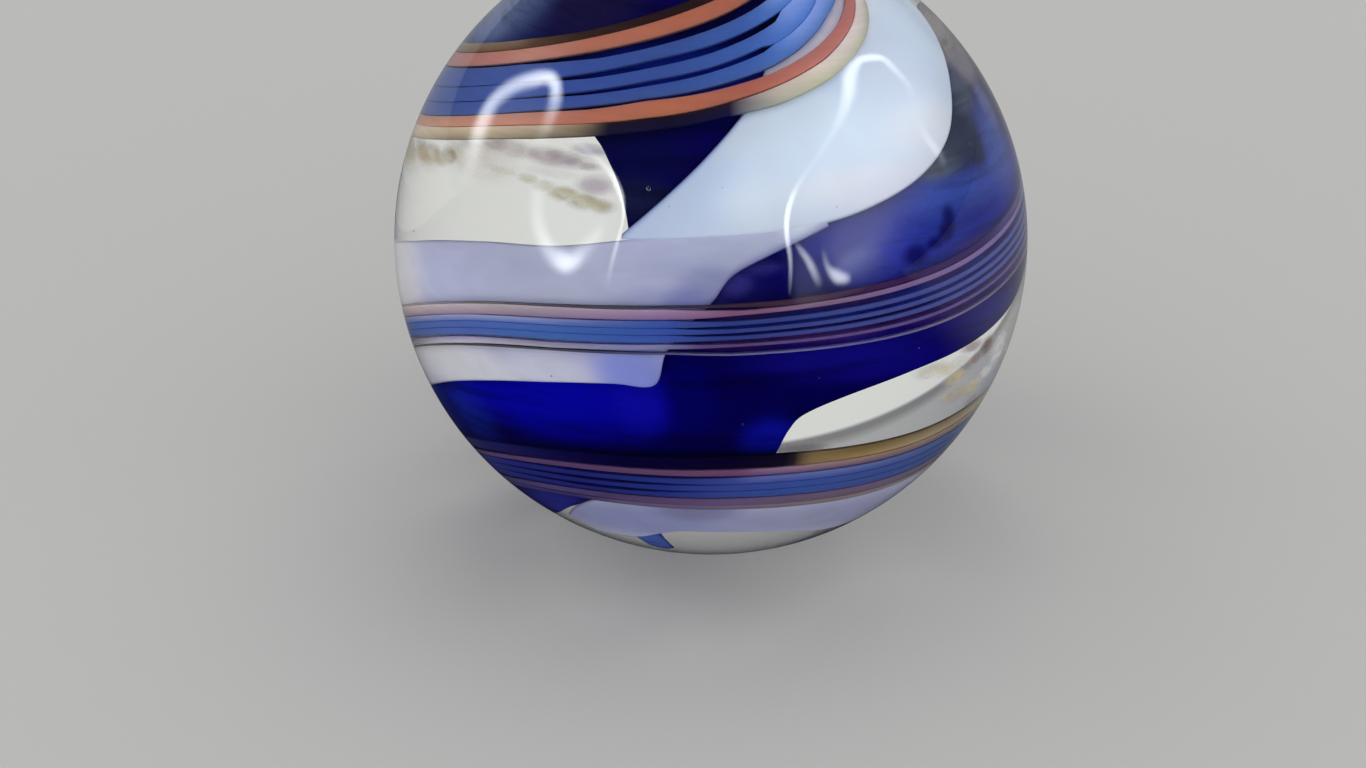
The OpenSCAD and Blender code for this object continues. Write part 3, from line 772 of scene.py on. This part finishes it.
seen = add(tree, "Math", {"operation": "MAXIMUM"}, {0: path["Is Camera Ray"], 1: path["Is Transmission Ray"]})
seen = add(tree, "Math", {"operation": "MULTIPLY"}, {0: seen.outputs[0], 1: first})
mirror = add(tree, "Math", {"operation": "MULTIPLY"}, {0: path["Is Glossy Ray"], 1: first})
mixed = add(tree, "MixShader", inputs={0: mirror.outputs[0], 1: light.outputs[0], 2: dark.outputs[0]})
mixed = add(tree, "MixShader", inputs={0: seen.outputs[0], 1: mixed.outputs[0], 2: pale.outputs[0]})
add(tree, "OutputWorld", inputs={"Surface": mixed.outputs[0]})
bpy.context.scene.world = world

SIDE = 0.5                                     # metres from the ball to each window of light


def light_window(name, x, panes, lines):
    """A window of light that shows only as a reflection.

    A pane is its middle's y and z, its half width in each and its radiance. A line is a row of
    places along it: y, z, half width and radiance.
    """
    # The panes share one sheet, with a point every 2 cm, that starts 2 mm above the ball's middle.
    y, z = np.meshgrid(np.linspace(-1.3, 0.8, 106), np.linspace(0, 1.0, 51) + 0.002)
    pane = np.zeros(y.shape)
    for middle_y, middle_z, wide, high, radiance in panes:
        away = ((y - middle_y) / wide) ** 2 + ((z - middle_z) / high) ** 2
        pane += np.exp(-away ** 2) * (radiance - pane)
    sheets = [(x, y, z, pane)]
    # Each line is a strip of its own, 1 mm nearer to the ball than the sheet before it.
    for k, line in enumerate(lines):
        row = smooth(line, np.linspace(0, len(line) - 1, 12 * len(line)))
        way = np.gradient(row[:, :2], axis=0)
        way /= np.linalg.norm(way, axis=1)[:, None]
        across = np.linspace(-1, 1, 13)
        y = row[:, 0, None] - way[:, 1, None] * row[:, 2, None] * across
        z = row[:, 1, None] + way[:, 0, None] * row[:, 2, None] * across
        sheets.append((x * (1 - 0.002 * (k + 1)), y, z, row[:, 3, None] * np.cos(across * math.pi / 2) ** 2))
    points, glow, faces = [], [], []
    for x, y, z, radiance in sheets:
        i = sum(map(len, points)) + np.arange(y.size).reshape(y.shape)
        faces += grid_faces(i).tolist()
        points.append(np.stack([np.full(y.size, x), y.ravel(), z.ravel()], -1))
        glow.append(radiance.ravel())
    mesh = bpy.data.meshes.new(name)
    mesh.from_pydata(np.concatenate(points).tolist(), [], faces)
    glow = np.concatenate(glow).astype(np.float32)
    mesh.attributes.new("glow", "FLOAT", "POINT").data.foreach_set("value", glow)
    window = placed(name, mesh)
    material, tree = new_material(name)
    glow = add(tree, "Attribute", {"attribute_name": "glow"}).outputs["Fac"]
    glow = add(tree, "Emission", inputs={"Color": (0.90, 0.95, 1.0, 1), "Strength": glow})
    clear = add(tree, "BsdfTransparent")
    glow = add(tree, "AddShader", inputs={0: clear.outputs[0], 1: glow.outputs[0]})
    add(tree, "OutputMaterial", inputs={"Surface": glow.outputs[0]})
    mesh.materials.append(material)
    window.visible_camera = window.visible_diffuse = window.visible_transmission = False
    window.visible_shadow = False
    window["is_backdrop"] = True


light_window("left_window", -SIDE, [[0.14, 0.30, 0.15, 0.15, 0.4], [-0.36, 0.30, 0.26, 0.22, 0.8]], [
    [[0.14, 0.06, 0.06, 0.0], [0.19, 0.10, 0.065, 4.0], [0.25, 0.145, 0.07, 8.0], [0.295, 0.19, 0.07, 9.0],
     [0.30, 0.25, 0.07, 9.0], [0.29, 0.31, 0.065, 11.0], [0.265, 0.38, 0.065, 15.0],
     [0.235, 0.44, 0.055, 18.0], [0.18, 0.465, 0.05, 17.0], [0.115, 0.45, 0.055, 12.0],
     [0.07, 0.42, 0.055, 7.0], [0.02, 0.365, 0.05, 3.0], [-0.02, 0.29, 0.05, 0.0]],
    [[-0.10, 0.26, 0.05, 0.0], [-0.13, 0.22, 0.05, 2.0], [-0.175, 0.165, 0.05, 3.0],
     [-0.23, 0.125, 0.05, 5.0], [-0.29, 0.10, 0.055, 9.0], [-0.35, 0.10, 0.06, 16.0],
     [-0.40, 0.125, 0.055, 13.0], [-0.445, 0.19, 0.06, 5.0], [-0.49, 0.28, 0.06, 2.5],
     [-0.52, 0.36, 0.06, 0.0]],
    [[-0.10, 0.45, 0.02, 0.0], [-0.16, 0.485, 0.025, 2.0], [-0.26, 0.53, 0.025, 2.5],
     [-0.37, 0.57, 0.035, 6.0], [-0.47, 0.575, 0.045, 12.0], [-0.56, 0.565, 0.045, 13.0],
     [-0.625, 0.52, 0.035, 9.0], [-0.66, 0.44, 0.03, 5.0], [-0.665, 0.33, 0.035, 7.0],
     [-0.66, 0.22, 0.035, 4.0], [-0.655, 0.08, 0.035, 0.0]]])
light_window("right_window", SIDE, [
    [-0.20, 0.34, 0.60, 0.30, 1.5], [-0.36, 0.16, 0.22, 0.12, 2.4], [-0.70, 0.14, 0.20, 0.20, 1.0],
    [-0.37, 0.09, 0.12, 0.07, 3.2], [0.10, 0.0, 0.90, 0.12, 0.27], [-0.05, 0.0, 0.30, 0.06, 0.1]], [
    [[-0.97, 0.10, 0.035, 0.0], [-0.92, 0.22, 0.045, 5.0], [-0.88, 0.34, 0.05, 10.0],
     [-0.86, 0.47, 0.06, 14.0], [-0.80, 0.57, 0.06, 17.0], [-0.69, 0.625, 0.055, 12.0],
     [-0.56, 0.64, 0.04, 4.0], [-0.42, 0.62, 0.035, 1.5], [-0.28, 0.59, 0.035, 1.2],
     [-0.12, 0.56, 0.04, 2.0], [0.0, 0.55, 0.055, 4.5], [0.10, 0.55, 0.07, 8.0],
     [0.20, 0.56, 0.07, 10.0], [0.30, 0.52, 0.04, 9.0], [0.35, 0.45, 0.035, 8.0], [0.37, 0.39, 0.035, 6.0],
     [0.335, 0.33, 0.035, 3.5], [0.30, 0.28, 0.03, 1.5], [0.24, 0.25, 0.03, 0.2], [0.185, 0.215, 0.03, 0.3],
     [0.155, 0.185, 0.03, 2.0], [0.15, 0.15, 0.03, 3.0], [0.15, 0.12, 0.03, 1.5], [0.12, 0.10, 0.03, 0.0]],
    [[-0.78, 0.40, 0.02, 0.0], [-0.74, 0.33, 0.04, 6.0], [-0.70, 0.27, 0.045, 9.0],
     [-0.665, 0.20, 0.05, 10.0], [-0.64, 0.14, 0.05, 6.0], [-0.61, 0.08, 0.04, 0.0]],
    [[-0.40, 0.06, 0.025, 0.0], [-0.44, 0.07, 0.035, 12.0], [-0.49, 0.095, 0.045, 15.0],
     [-0.53, 0.14, 0.035, 8.0], [-0.54, 0.20, 0.03, 3.0], [-0.52, 0.25, 0.03, 0.0]]])

# Plain colours, sharp reflections, and enough bounces for light that crosses glass.
scene = bpy.context.scene
scene.view_settings.view_transform = "Standard"
scene.cycles.blur_glossy = 0
scene.cycles.max_bounces = 16
scene.cycles.diffuse_bounces = 8
scene.cycles.glossy_bounces = 12
scene.cycles.transmission_bounces = 12

# ---------------------------------------------------------------- Camera
# A long lens close above the table, looking down at the ball by about thirty degrees. The ball stands
# high in the frame, which cuts off its top, and a little right of the middle.

ELEVATION = math.radians(29.5)
DISTANCE = 350 * MM
camera_data = bpy.data.cameras.new("camera")
camera_data.sensor_width = 36
camera_data.lens = 233.8
camera_data.clip_start = 0.01
camera = placed("camera", camera_data)
up = np.array([0, math.sin(ELEVATION), math.cos(ELEVATION)])
back = np.array([0, -math.cos(ELEVATION), math.sin(ELEVATION)])
target = np.array([-1.10, 0, 0]) * MM + up * -5.76 * MM
camera.location = target + back * DISTANCE
camera.rotation_euler = (math.pi / 2 - ELEVATION, 0, 0)
bpy.context.scene.camera = camera

low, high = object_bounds()
